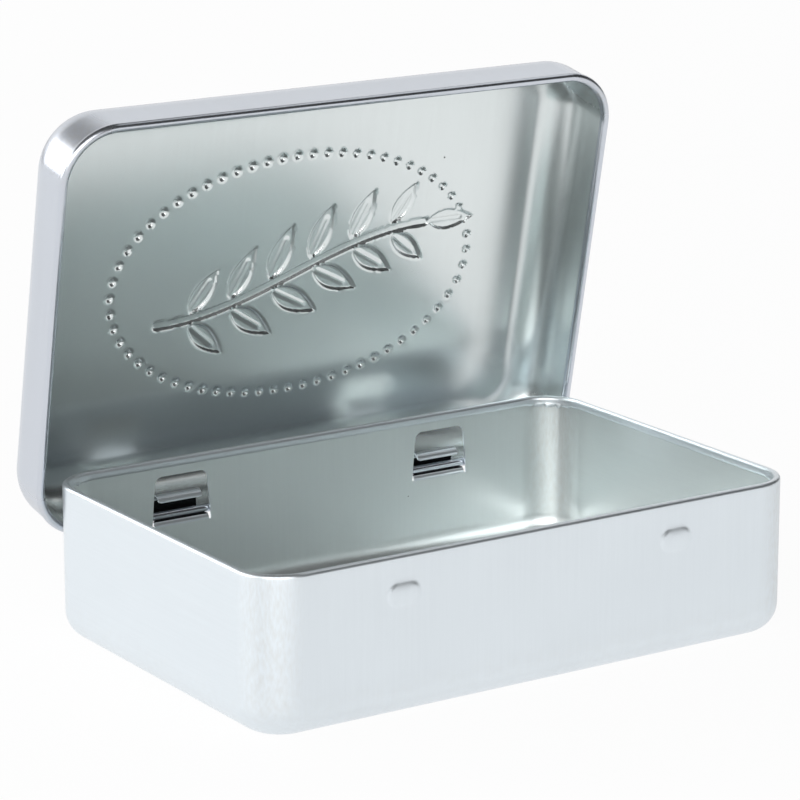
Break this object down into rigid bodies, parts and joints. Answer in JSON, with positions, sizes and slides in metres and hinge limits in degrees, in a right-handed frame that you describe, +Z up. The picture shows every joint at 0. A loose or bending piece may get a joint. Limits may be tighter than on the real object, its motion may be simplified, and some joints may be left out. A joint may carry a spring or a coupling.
{
  "type": "hinged soap tin",
  "caption": "Rounded rectangular pressed tinplate tin with a hinged lid, open and empty, for keeping a bar of soap.",
  "frame": {"origin": "centre of the base's flat underside, on the surface it stands on", "axes": "+X along the tin's long side, +Y from the front wall with the snap bumps to the hinged rear wall, +Z up"},
  "size_m": [0.1018, 0.0763, 0.0828],
  "materials": {
    "base_tinplate": "bare satin tinplate",
    "lid_tinplate": "bare satin tinplate"
  },
  "bodies": {
    "base_body": {"base": "base_tinplate"},
    "lid_body": {"lid": "lid_tinplate"}
  },
  "joints": [
    {"name": "lid_hinge", "type": "hinge", "parent": "base_body", "child": "lid_body", "pos_m": [0, 0.03335, 0.0157], "axis": [-1, 0, 0], "range_deg": [-78.5, 30]}
  ]
}
